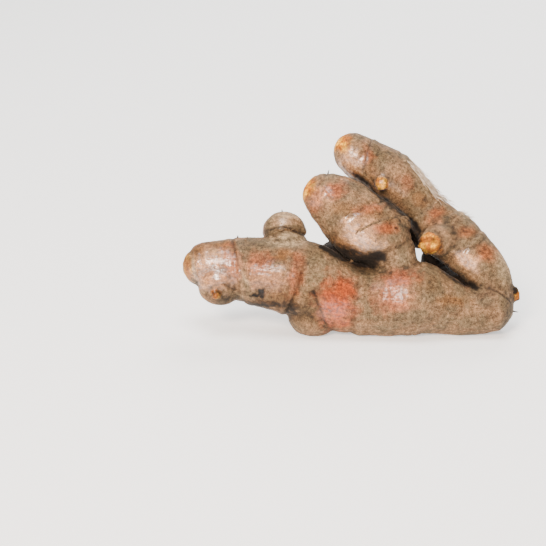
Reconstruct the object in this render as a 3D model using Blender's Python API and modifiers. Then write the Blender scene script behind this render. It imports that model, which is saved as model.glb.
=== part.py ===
"""A fresh turmeric rhizome, whole and uncut, as it was dug up and washed.

It grew as one piece, so it is one solid: a stout main stem that lies on the table, two fingers that
rise side by side from its right half, a short capped stub on its left arm, three knobs and a
broken-off finger behind, a low knob below, and the buds. Each of these is an arm: a tube along a
smooth line through a few hand-chosen stations, with its own girth at each station. The arms are
joined in one skin, and the scars that the leaf sheaths left go round each arm as low steps.

Stations are measured in the plane in which the rhizome branches, in millimetres: across to the
right, up the plane, back from it, then the arm's radius. The plane leans back by LEAN.
"""

import math
from typing import NamedTuple

import bmesh
import bpy
import numpy as np
from mathutils import Vector, noise

MM = 0.001

# The stance of the rhizome on the table. Its origin is on the table, under the middle of its box.
LEAN = math.radians(20)
ORIGIN_ACROSS = 0.5
ORIGIN_BACK = 14.2
SUNK_IN_TABLE = 0.4

# The skin's mesh.
LINE_STEP = 0.4
TUBE_RESOLUTION = 6
VOXEL = 0.6
SMOOTH_ROUNDS = 6
SMOOTH_SHARE = 0.5
FACE_BUDGET = 9200

# A ring is a swelling that rises towards the tip, ends in a soft edge and falls into a groove.
RING_RISE = 0.45
RING_REACH = 3.4
RING_EDGE = 0.7
RING_GROOVE = 0.45
GROOVE_WIDTH = 1.5
RING_WOBBLE = 1.1
WOBBLE_SIZE = 6.0
# A ring is uneven all round: lumps of that size strengthen and weaken it, between those limits.
RING_PATCH = 5.0
RING_MEAN = 0.8
RING_SWING = 0.9
RING_LIMITS = (0.15, 1.4)
# Where a ring starts and ends to fade towards the arm's upper edge.
UPPER_FADE = (-0.1, 0.8)

# Low lumps all over, and the width over which all relief fades out towards a crook.
LUMP_HEIGHT = 0.6
LUMP_SIZE = 11.0
CROOK_FADE = 3.0

SKIN_COLOUR = (0.33, 0.235, 0.15, 1.0)
SKIN_ROUGHNESS = 0.72


class Ring(NamedTuple):
    """A leaf scar: the point of the plane where it crosses the arm, how far it runs on towards the
    tip at the arm's upper edge and at its front, how strong it is, and the share of that which it
    keeps at the upper edge. Its swelling lies on the root side, or on the tip side where the
    strength is below zero."""
    across: float
    up: float
    upper_lead: float = 0.0
    front_lead: float = 0.0
    strength: float = 1.0
    upper_share: float = 1.0


class Arm(NamedTuple):
    """Stations from root to tip, the lengths over which the ends round off, and the rings."""
    stations: list
    tip: float
    root: float = 0.0
    rings: list = []


ARMS = {
    "main": Arm(
        stations=[
            (54.6, 10.4, 0.0, 8.2),
            (48.3, 10.0, 0.0, 8.9),
            (42.7, 8.4, 0.0, 7.9),
            (36.7, 8.5, 0.0, 8.5),
            (30.0, 10.5, 0.0, 10.2),
            (24.5, 12.1, 0.0, 12.2),
            (18.5, 12.6, 0.0, 12.7),
            (11.7, 11.8, 0.0, 11.7),
            (2.7, 11.6, 0.0, 11.1),
            (-6.9, 14.5, 0.0, 11.9),
            (-12.5, 17.4, 0.0, 13.0),
            (-18.0, 19.3, 0.0, 12.8),
            (-25.0, 20.7, 0.0, 12.2),
            (-33.3, 21.8, 0.0, 11.1),
            (-39.3, 22.9, 0.0, 9.8),
            (-45.0, 23.4, 0.0, 8.3),
            (-50.5, 23.4, 0.0, 7.4),
            (-55.9, 23.7, 0.0, 6.8),
        ],
        tip=8.0,
        root=7.5,
        rings=[
            Ring(42.0, 14.0, 0.0, 1.0, 0.35),
            Ring(22.3, 14.0, 0.5, -1.0, 0.45),
            Ring(1.7, 13.0, 0.8, -0.5, 1.0),
            Ring(-16.0, 19.0, -1.8, 1.4, -2.0, 0.1),
            Ring(-36.5, 21.5, 2.8, 0.6, 0.9, 0.5),
            Ring(-52.0, 23.5, 1.0, 0.5, 0.7),
        ],
    ),
    "first_finger": Arm(
        stations=[
            (17.3, 12.0, 0.0, 8.5),
            (15.4, 22.0, -0.3, 7.8),
            (13.4, 27.4, -0.6, 8.4),
            (9.7, 32.6, -1.0, 10.8),
            (3.5, 37.2, -1.5, 11.4),
            (-1.7, 41.8, -1.5, 10.6),
            (-5.4, 44.5, -1.5, 9.4),
            (-10.2, 47.0, -1.0, 7.6),
            (-15.9, 48.6, -0.5, 5.6),
        ],
        tip=5.6,
        rings=[
            Ring(13.4, 27.4, 0.0, 1.0, 0.5),
            Ring(4.9, 35.9, -3.0, 6.0, 0.9),
            Ring(-10.0, 47.0, -1.0, 0.5, 0.5),
        ],
    ),
    "second_finger": Arm(
        stations=[
            (47.0, 9.5, 0.5, 7.6),
            (47.2, 17.6, 1.0, 7.3),
            (43.6, 24.5, 2.0, 7.7),
            (38.8, 29.2, 3.0, 8.5),
            (33.2, 33.8, 4.2, 8.9),
            (28.8, 38.6, 5.4, 7.9),
            (25.2, 42.8, 6.2, 6.7),
            (20.9, 47.7, 6.6, 7.2),
            (17.0, 51.5, 6.6, 8.3),
            (13.3, 54.4, 6.4, 8.5),
            (8.4, 57.7, 6.2, 7.6),
            (3.9, 59.7, 6.0, 7.6),
            (0.1, 61.9, 6.0, 6.7),
            (-4.8, 64.1, 6.0, 5.3),
        ],
        tip=5.2,
        rings=[
            Ring(38.7, 29.0, 0.0, -0.6, 0.5),
            Ring(31.2, 37.2, 1.0, -0.6, 0.5),
            Ring(25.9, 43.5, 0.0, -1.0, 0.7),
            Ring(16.5, 52.0, 3.8, 0.5, 0.6),
            Ring(5.6, 59.3, 0.6, 0.8, 0.5),
        ],
    ),
    "stub": Arm(
        stations=[
            (-20.5, 23.0, -0.5, 7.4),
            (-21.4, 31.5, 2.0, 6.7),
            (-22.0, 36.5, 3.6, 7.0),
            (-22.2, 41.6, 5.2, 6.3),
        ],
        tip=5.0,
        rings=[
            Ring(-21.8, 34.4, 0.0, 0.0, -1.5),
        ],
    ),
    "rear_knob": Arm(
        stations=[
            (3.0, 15.0, 3.0, 9.5),
            (-2.6, 23.2, 11.0, 9.4),
            (-2.2, 19.4, 20.0, 9.5),
            (-1.6, 12.2, 30.5, 8.4),
        ],
        tip=8.0,
        rings=[
            Ring(-2.4, 21.5, 2.0, 0.0, 1.0),
        ],
    ),
    "broken_finger": Arm(
        stations=[
            (28.0, 11.5, 2.0, 7.0),
            (30.0, 11.8, 12.0, 6.3),
            (30.8, 11.6, 19.0, 5.7),
        ],
        tip=1.2,
    ),
    "under_knob": Arm(
        stations=[
            (-12.4, 13.0, 0.0, 7.5),
            (-12.8, 6.0, 0.2, 8.0),
            (-13.4, -0.2, 0.4, 7.2),
        ],
        tip=5.5,
    ),
    "left_bud": Arm(
        stations=[
            (-42.0, 20.5, 0.0, 7.8),
            (-43.6, 16.6, -4.0, 7.2),
            (-44.4, 13.8, -8.2, 5.0),
        ],
        tip=3.4,
        rings=[
            Ring(-43.6, 16.6, 0.0, 0.0, 0.8),
        ],
    ),
    "left_bud_tip": Arm(
        stations=[
            (-44.2, 14.4, -6.0, 1.8),
            (-44.8, 13.2, -10.4, 1.4),
        ],
        tip=1.4,
    ),
    "small_bud": Arm(
        stations=[
            (11.4, 51.8, 2.8, 3.0),
            (10.6, 50.9, -0.8, 2.3),
            (10.0, 49.7, -3.4, 1.8),
        ],
        tip=1.8,
    ),
    "large_bud": Arm(
        stations=[
            (32.0, 33.6, 0.5, 5.6),
            (29.0, 32.0, -2.8, 5.3),
            (27.0, 31.1, -4.2, 4.5),
            (25.8, 30.6, -5.2, 3.6),
            (24.2, 29.8, -8.8, 3.0),
        ],
        tip=4.0,
    ),
    "right_bud": Arm(
        stations=[
            (52.6, 15.2, 0.0, 2.6),
            (54.6, 14.2, -0.2, 2.2),
            (55.6, 11.4, -0.4, 1.5),
        ],
        tip=1.6,
    ),
    "ear": Arm(
        stations=[
            (12.5, 35.2, -2.0, 4.6),
            (19.8, 38.6, -3.8, 3.1),
        ],
        tip=2.4,
    ),
    "rear_shoulder": Arm(
        stations=[
            (38.0, 12.5, 5.5, 7.2),
            (33.6, 17.0, 11.0, 5.4),
            (30.0, 24.0, 16.2, 4.6),
            (27.0, 29.0, 17.5, 4.2),
        ],
        tip=4.0,
    ),
    "inner_knob": Arm(
        stations=[
            (31.0, 36.5, 6.0, 6.5),
            (25.5, 35.2, 9.5, 5.6),
            (20.6, 32.6, 12.0, 5.0),
        ],
        tip=4.0,
    ),
    "rear_bud": Arm(
        stations=[
            (-31.0, 21.0, 2.0, 5.0),
            (-32.5, 23.5, 10.0, 4.4),
            (-33.4, 24.8, 14.6, 3.4),
        ],
        tip=3.0,
    ),
}

# Directions of the plane: up it, and out of its front.
UPPER = Vector((0.0, math.sin(LEAN), math.cos(LEAN)))
FRONT = Vector((0.0, -math.cos(LEAN), math.sin(LEAN)))


def in_the_row(across, up, back):
    """A point of the leaning plane, in metres, in the frame whose origin is under the middle."""
    return Vector((
        across - ORIGIN_ACROSS,
        up * math.sin(LEAN) + back * math.cos(LEAN) - ORIGIN_BACK,
        up * math.cos(LEAN) - back * math.sin(LEAN) - SUNK_IN_TABLE,
    )) * MM


def smooth_line(stations, step):
    """Points (x, y, z, radius) about a step apart on a smooth line through the stations."""
    knots = np.array([[*in_the_row(*s[:3]), s[3] * MM] for s in stations])
    ends = [2 * knots[0] - knots[1], 2 * knots[-1] - knots[-2]]
    padded = np.vstack([ends[0], knots, ends[1]])
    points = []
    for k in range(len(knots) - 1):
        p0, p1, p2, p3 = padded[k:k + 4]
        count = max(2, round(float(np.linalg.norm((p2 - p1)[:3])) / (step * MM)))
        for t in np.arange(count) / count:
            points.append(0.5 * (
                2 * p1 + (p2 - p0) * t + (2 * p0 - 5 * p1 + 4 * p2 - p3) * t * t
                + (3 * p1 - p0 - 3 * p2 + p3) * t ** 3
            ))
    points.append(knots[-1])
    return np.array(points)


def distances_along(line):
    """Distance of each point of a line from its first one, in metres."""
    steps = np.linalg.norm(np.diff(line[:, :3], axis=0), axis=1)
    return np.concatenate([[0.0], np.cumsum(steps)])


def rounded_line(arm):
    """The arm's line with its radius drawn in to a round tip, and to a round root where it is free."""
    line = smooth_line(arm.stations, LINE_STEP)
    along = distances_along(line)
    for rounding, depth in ((arm.tip * MM, along[-1] - along), (arm.root * MM, along)):
        if rounding > 0:
            share = np.clip(depth / rounding, 0.0, 1.0)
            line[:, 3] *= np.sqrt(np.clip(1 - (1 - share) ** 2, 0.002, 1.0))
    return line


def tube(name, line):
    """A closed mesh tube along the line, made from a bevelled curve."""
    curve = bpy.data.curves.new(name, "CURVE")
    curve.dimensions = "3D"
    curve.bevel_depth = 1.0
    curve.bevel_resolution = TUBE_RESOLUTION
    curve.use_fill_caps = True
    spline = curve.splines.new("POLY")
    spline.points.add(len(line) - 1)
    for point, (x, y, z, radius) in zip(spline.points, line):
        point.co = (x, y, z, 1.0)
        point.radius = radius
    guide = bpy.data.objects.new(name + "_line", curve)
    bpy.context.scene.collection.objects.link(guide)
    depsgraph = bpy.context.evaluated_depsgraph_get()
    mesh = bpy.data.meshes.new_from_object(guide.evaluated_get(depsgraph))
    bpy.data.objects.remove(guide)
    welded = bmesh.new()
    welded.from_mesh(mesh)
    bmesh.ops.remove_doubles(welded, verts=welded.verts, dist=0.00001)
    bmesh.ops.recalc_face_normals(welded, faces=welded.faces)
    welded.to_mesh(mesh)
    welded.free()
    return mesh


def bake(target):
    """Gives the object the mesh that its modifiers make, and removes them."""
    depsgraph = bpy.context.evaluated_depsgraph_get()
    mesh = bpy.data.meshes.new_from_object(target.evaluated_get(depsgraph))
    target.modifiers.clear()
    target.data = mesh


def fused_skin(meshes, collection):
    """One closed skin round all the tubes, with the corners where they meet eased."""
    joined = bmesh.new()
    for mesh in meshes:
        joined.from_mesh(mesh)
    body = bpy.data.meshes.new("rhizome")
    joined.to_mesh(body)
    joined.free()
    rhizome = bpy.data.objects.new("rhizome", body)
    collection.objects.link(rhizome)
    remesh = rhizome.modifiers.new("one_skin", "REMESH")
    remesh.mode = "VOXEL"
    remesh.voxel_size = VOXEL * MM
    ease = rhizome.modifiers.new("ease", "SMOOTH")
    ease.factor = SMOOTH_SHARE
    ease.iterations = SMOOTH_ROUNDS
    bake(rhizome)
    return rhizome


def noise_at(points, size, shift=0.0):
    """Smooth noise between about -1 and 1, with lumps of that size in millimetres."""
    return np.array([noise.noise(Vector(p)) for p in points / (size * MM) + shift])


def rise(values, start, end):
    """0 up to the start, 1 from the end on, and smooth between them."""
    share = np.clip((values - start) / (end - start), 0.0, 1.0)
    return share * share * (3 - 2 * share)


def ring_profile(beyond):
    """Height of a ring of strength 1 at a distance beyond it, in millimetres."""
    before = 0.5 - 0.5 * np.tanh(beyond / RING_EDGE)
    swelling = RING_RISE * before * np.exp(-(beyond / RING_REACH) ** 2)
    groove = RING_GROOVE * np.exp(-((beyond - GROOVE_WIDTH / 2) / GROOVE_WIDTH) ** 2)
    return swelling - groove


def arm_relief(arm, line, points, wobble):
    """How far the points lie outside the arm, and the height of its rings there, in millimetres."""
    along = distances_along(line)
    ways = np.gradient(line[:, :3], axis=0)
    ways /= np.linalg.norm(ways, axis=1)[:, None]
    middles = line[:, :3]
    nearest = np.argmin((middles ** 2).sum(axis=1) - 2 * points @ middles.T, axis=1)
    offset = points - middles[nearest]
    outside = (np.linalg.norm(offset, axis=1) - line[nearest, 3]) / MM
    ahead = np.einsum("ij,ij->i", offset, ways[nearest])
    outward = offset - ahead[:, None] * ways[nearest]
    outward /= np.linalg.norm(outward, axis=1)[:, None]
    height = np.zeros(len(points))
    for ring in arm.rings:
        crossing = np.array(in_the_row(ring.across, ring.up, 0.0))
        start = along[np.argmin(np.linalg.norm(middles - crossing, axis=1))]
        lead = ring.upper_lead * (outward @ UPPER) + ring.front_lead * (outward @ FRONT)
        beyond = (along[nearest] + ahead - start) / MM - lead + wobble
        uneven = np.clip(
            RING_MEAN + RING_SWING * noise_at(points, RING_PATCH, ring.across), *RING_LIMITS)
        kept = ring.upper_share + (1 - ring.upper_share) * (1 - rise(outward @ UPPER, *UPPER_FADE))
        facing = math.copysign(1.0, ring.strength)
        height += abs(ring.strength) * uneven * kept * ring_profile(beyond * facing)
    return outside, height


def raise_relief(rhizome, lines):
    """Moves the skin in and out along its normals, for the rings and for low lumps."""
    mesh = rhizome.data
    points = np.empty(len(mesh.vertices) * 3)
    mesh.vertices.foreach_get("co", points)
    points = points.reshape(-1, 3)
    normals = np.empty(len(mesh.vertices) * 3)
    mesh.vertex_normals.foreach_get("vector", normals)
    normals = normals.reshape(-1, 3)
    wobble = RING_WOBBLE * noise_at(points, WOBBLE_SIZE)
    lumps = LUMP_HEIGHT * noise_at(points, LUMP_SIZE)
    nearest_arm = np.full(len(points), np.inf)
    second_arm = np.full(len(points), np.inf)
    height = np.zeros(len(points))
    for name, line in lines.items():
        outside, rings = arm_relief(ARMS[name], line, points, wobble)
        nearer = outside < nearest_arm
        second_arm = np.where(nearer, nearest_arm, np.minimum(second_arm, outside))
        height = np.where(nearer, rings, height)
        nearest_arm = np.minimum(nearest_arm, outside)
    clear = np.clip((second_arm - nearest_arm) / CROOK_FADE, 0.0, 1.0)
    height = height * clear + lumps
    moved = points + normals * height[:, None] * MM
    mesh.vertices.foreach_set("co", moved.ravel())
    mesh.update()


def fewer_faces(rhizome):
    """Thins the skin to the budget of triangles, most where it is smooth."""
    decimate = rhizome.modifiers.new("fewer_faces", "DECIMATE")
    decimate.use_collapse_triangulate = True
    decimate.ratio = FACE_BUDGET / (2 * len(rhizome.data.polygons))
    bake(rhizome)


def keep_one_body(rhizome):
    """Drops any scrap that came loose when the skin was thinned."""
    body = bmesh.new()
    body.from_mesh(rhizome.data)
    unseen = set(body.verts)
    pieces = []
    while unseen:
        piece = [unseen.pop()]
        for vert in piece:
            neighbours = {edge.other_vert(vert) for edge in vert.link_edges} & unseen
            unseen -= neighbours
            piece.extend(neighbours)
        pieces.append(piece)
    largest = max(pieces, key=len)
    scraps = [vert for piece in pieces if piece is not largest for vert in piece]
    bmesh.ops.delete(body, geom=scraps, context="VERTS")
    body.to_mesh(rhizome.data)
    body.free()


def press_on_table(rhizome):
    """Flattens the few low points that carry the weight, where they reach the table."""
    for vertex in rhizome.data.vertices:
        vertex.co.z = max(vertex.co.z, 0.0)


def skin_material():
    """The brown skin of the fresh rhizome."""
    material = bpy.data.materials.new("turmeric_skin")
    material.use_nodes = True
    shader = material.node_tree.nodes["Principled BSDF"]
    shader.inputs["Base Color"].default_value = SKIN_COLOUR
    shader.inputs["Roughness"].default_value = SKIN_ROUGHNESS
    shader.inputs["Metallic"].default_value = 0.0
    return material


def build():
    for old in list(bpy.data.objects):
        bpy.data.objects.remove(old)
    collection = bpy.data.collections.new("turmeric_rhizome")
    bpy.context.scene.collection.children.link(collection)
    lines = {name: rounded_line(arm) for name, arm in ARMS.items()}
    rhizome = fused_skin([tube(name, line) for name, line in lines.items()], collection)
    raise_relief(rhizome, lines)
    fewer_faces(rhizome)
    keep_one_body(rhizome)
    press_on_table(rhizome)
    rhizome.data.materials.clear()
    rhizome.data.materials.append(skin_material())
    rhizome.data.shade_smooth()


build()
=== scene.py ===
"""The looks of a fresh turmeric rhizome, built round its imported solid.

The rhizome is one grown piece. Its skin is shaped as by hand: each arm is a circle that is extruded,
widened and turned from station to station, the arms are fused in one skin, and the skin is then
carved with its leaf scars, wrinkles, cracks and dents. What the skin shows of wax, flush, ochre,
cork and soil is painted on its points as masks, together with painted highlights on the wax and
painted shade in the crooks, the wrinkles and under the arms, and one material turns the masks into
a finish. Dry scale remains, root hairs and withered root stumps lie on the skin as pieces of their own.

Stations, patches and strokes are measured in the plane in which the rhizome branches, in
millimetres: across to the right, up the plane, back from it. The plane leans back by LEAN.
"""

import math
import random
from typing import NamedTuple

import bpy
import numpy as np
from bpy.props import FloatProperty, FloatVectorProperty, IntProperty, PointerProperty
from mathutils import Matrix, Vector, noise
from mathutils.bvhtree import BVHTree


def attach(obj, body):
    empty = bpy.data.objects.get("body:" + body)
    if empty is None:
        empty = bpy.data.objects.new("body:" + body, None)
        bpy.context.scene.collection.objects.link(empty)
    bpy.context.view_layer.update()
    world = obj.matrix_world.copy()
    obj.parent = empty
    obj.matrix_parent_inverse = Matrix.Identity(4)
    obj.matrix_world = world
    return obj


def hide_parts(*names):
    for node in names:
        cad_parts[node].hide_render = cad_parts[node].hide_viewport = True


bl_info = {
    "name": "Turmeric Rhizome",
    "version": (1, 0, 0),
    "blender": (4, 5, 0),
    "location": "View3D > Sidebar > Turmeric",
    "description": "Builds a fresh turmeric rhizome and a plain studio round it",
    "category": "Add Mesh",
}

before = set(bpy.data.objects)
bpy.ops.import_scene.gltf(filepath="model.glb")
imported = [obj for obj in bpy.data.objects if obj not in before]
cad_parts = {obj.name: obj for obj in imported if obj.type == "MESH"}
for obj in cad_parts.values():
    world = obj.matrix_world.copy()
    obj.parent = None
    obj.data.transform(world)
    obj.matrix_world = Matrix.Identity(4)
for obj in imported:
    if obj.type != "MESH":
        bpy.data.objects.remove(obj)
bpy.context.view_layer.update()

MM = 0.001

# The stance of the rhizome on the table. Its origin is on the table, under the middle of its box.
LEAN = math.radians(20)
ORIGIN_ACROSS = 0.5
ORIGIN_BACK = 14.2
SUNK_IN_TABLE = 0.4

# The middle of the picture, in the plane in which the rhizome branches.
AIM_ACROSS = -25.67
AIM_UP = 21.0

# Directions of the plane: to its right, up it, and out of its front.
RIGHT = np.array([1.0, 0.0, 0.0])
UPPER = np.array([0.0, math.sin(LEAN), math.cos(LEAN)])
FRONT = np.array([0.0, -math.cos(LEAN), math.sin(LEAN)])

# The tubes: steps along an arm's line, sides round it, how far its ends may close, and how the fused
# skin is smoothed.
LINE_STEP = 0.6
ARM_SIDES = 32
END_LEAST = 0.002
SMOOTH_ROUNDS = 9
SMOOTH_SHARE = 0.5

# A ring is a swelling that ends in an edge and falls into a groove.
RING_RISE = 0.45
RING_REACH = 3.4
RING_EDGE = 0.35
RING_GROOVE = 0.5
GROOVE_WIDTH = 0.9

# A ring's strength varies round the arm: over what size, its middle share, the swing, and the least
# and the most. At the arm's upper edge it can fade.
RING_PATCH = 5.0
RING_MIDDLE = 0.8
RING_SWING = 0.9
RING_SHARES = (0.15, 1.4)
UPPER_FADE = (-0.1, 0.8)

# The dark mark of a ring's groove and the pale one of its edge: place beyond the ring, and width.
GROOVE_MARK = (0.4, 0.5)
EDGE_MARK = (-0.6, 0.55)
STRONGEST_MARK = 1.2

# The width over which all relief fades out towards a crook.
CROOK_FADE = 3.0

# Noise in the skin, in layers: the height or share of each, the size of its lumps, and a shift that
# keeps it apart from the others.
WOBBLE = ((1.1, 6.0, 0.0),)
LUMPS = ((0.6, 11.0, 0.0),)
DENTS = ((0.18, 4.2, 9.0),)
TATTERS = ((0.55, 2.6, 3.0), (0.35, 1.0, 4.0))
BUD_FOLDS = ((0.5, 1.7, 6.0), (0.25, 0.8, 7.0))

# The fine relief: rings drawn out round each arm and creases drawn out along it, with the share of
# each, its stretch along and across the arm, and its size, and pebbles between them.
DRAWN_OUT = ((0.7, (1.0, 0.12, 0.12), 1.1), (0.8, (0.22, 1.0, 1.0), 1.3))
PEBBLES = ((0.5, 1.1, 5.0),)
ARMS_APART = 70.0
RELIEF_CONTRAST = 0.8

# Round scars of shed rootlets.
ROOT_DOTS = 150
DOT_SEED = 11
DOT_SIZES = (0.35, 0.6)
DOT_HEIGHT = 0.14

# Where the skin turns from the camera, marks fade: on the open skin, and in a crook.
FADE_TO_SIDE = (-0.05, 0.45)
FADE_IN_CROOK = (-0.35, 0.05)

# How a patch fades from its middle to its rim, and how torn it is.
PATCH_FADE = (0.25, 1.45)
TORN = 0.7
TORN_SOIL_AND_SHADE = 1.5

# Blotches where the photo shows nothing: the finish, the size of their lumps and its shift, how high
# the noise is where they start, and their strength.
BLOTCHES = (
    ("flush", (9.0, 21.0), 0.10, 0.5),
    ("ochre", (8.0, 31.0), 0.15, 0.6),
    ("olive", (10.0, 41.0), 0.10, 0.6),
    ("pale", (6.0, 51.0), 0.20, 0.5),
    ("wax_and_highlight", (9.0, 61.0), 0.05, 0.45),
    ("soil_and_shade", (7.0, 71.0), 0.30, 0.6),
)
BLOTCH_TORN = 0.3
BLOTCH_FADE = 0.5

# A young tip: how torn its rim is, the share of its reach that is wholly yellow, and its fade
# towards the arm that it grows from.
YOUNG_TORN = 1.5
YOUNG_SHARE = 0.7
TIP_FADE = 0.8

# Grooves and edges are patchy: a middle share, and the swing. Then how dark grooves and dots are,
# and how pale edges.
PATCHY = (0.65, 0.5)
GROOVE_DARK = 0.8
DEEPEST_GROOVE = 0.7
DOT_DARK = 0.55
EDGE_PALE = 0.3

# Soil and painted shade lie in tatters, a middle share and the swing, and painted shade darkens
# the crooks between the arms.
SOIL_AND_SHADE_TATTERS = (1.1, 1.0)
CROOK_SHADE = 0.7
CROOK_TATTERS = (-0.3, 0.2)

# A scale remain: rows out from the scar, the length of a column, how far before the scar and how
# deep in the skin it starts, how it wanders, tears and tapers, and how far it lifts and curls.
SCALE_ROWS = 4
SCALE_COLUMNS_LEAST = 4
SCALE_STEP = 0.45
SCALE_BEFORE = 0.3
SCALE_SUNK = 0.06
SCALE_WANDER = 0.7
SCALE_TEARS = (0.55, 0.75, 0.35)
SCALE_SHORTEST = 0.12
SCALE_ENDS = 0.02
SCALE_TAPER = 0.4
SCALE_LIFT = 0.16
SCALE_CURL = 0.4

# A root hair: points and sides, ranges of its length, drift in degrees and looseness, how deep it
# starts, how high it arches, and how much thinner it ends.
HAIR_SEED = 5
HAIR_POINTS = 7
HAIR_SIDES = 5
HAIR_LENGTHS = (0.4, 1.0)
HAIR_DRIFTS = (-14.0, 10.0)
HAIR_LOOSENESS = (0.1, 1.9)
HAIR_SUNK = 0.05
HAIR_ARCH = 0.22
HAIR_THINNING = 0.6

# A root stump: sides, radii from its root to its tip, how deep it starts and where its neck is, and
# how far it bends.
STUMP_SIDES = 7
STUMP_GIRTHS = (0.34, 0.30, 0.20, 0.11)
STUMP_SUNK = 0.3
STUMP_NECK = 0.1
STUMP_BEND = 0.25

# The studio: the floor's side and where the lights point, in metres, the camera's lens and sensor in
# millimetres, and the strength of the light from all round.
FLOOR_SIZE = 8.0
LIGHT_AIM = (0.0, 0.0, 0.03)
LENS = 100.0
SENSOR_WIDTH = 36.0
CLIP_START = 0.01
SURROUND = 0.5


class Ring(NamedTuple):
    """A leaf scar: the point of the plane where it crosses the arm, how far it runs on towards the
    tip at the arm's upper edge and at its front, how strong it is, and the share of that which it
    keeps at the upper edge. Its swelling lies on the root side, or on the tip side where the
    strength is below zero."""
    across: float
    up: float
    upper_lead: float = 0.0
    front_lead: float = 0.0
    strength: float = 1.0
    upper_share: float = 1.0


class Arm(NamedTuple):
    """Stations from root to tip, the lengths over which the ends round off, and the rings."""
    stations: list
    tip: float
    root: float = 0.0
    rings: list = []


class Patch(NamedTuple):
    """An oval on the skin, as it is seen from the front, on all arms or only on some."""
    across: float
    up: float
    half_across: float
    half_up: float
    turn: float = 0.0
    strength: float = 1.0
    only: tuple = ()


class Stroke(NamedTuple):
    """A line on the skin, as it is seen from the front, the depth it is cut to, the arms that it
    crosses where these aren't all, and its finish."""
    points: list
    width: float
    depth: float
    strength: float = 1.0
    only: tuple = ()
    finish: str = "scar"


class Scale(NamedTuple):
    """A dry remain of a leaf sheath: its arm, the point of the plane where it crosses the arm, the
    turns round the arm between which it clings (0 in front, 90 at the upper edge), and its width."""
    arm: str
    across: float
    up: float
    start: float
    end: float
    width: float


class Tuft(NamedTuple):
    """A tuft of root hairs on an arm: the points of the plane between which they start, the turns
    round the arm between which they lie, their greatest length, and their share of all hairs."""
    arm: str
    first: tuple
    last: tuple
    start: float
    end: float
    length: float
    share: float


class Stump(NamedTuple):
    """A withered root: a point inside the rhizome, the way out from there (right, up the plane,
    back), and its length."""
    inside: tuple
    way: tuple
    length: float


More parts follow.
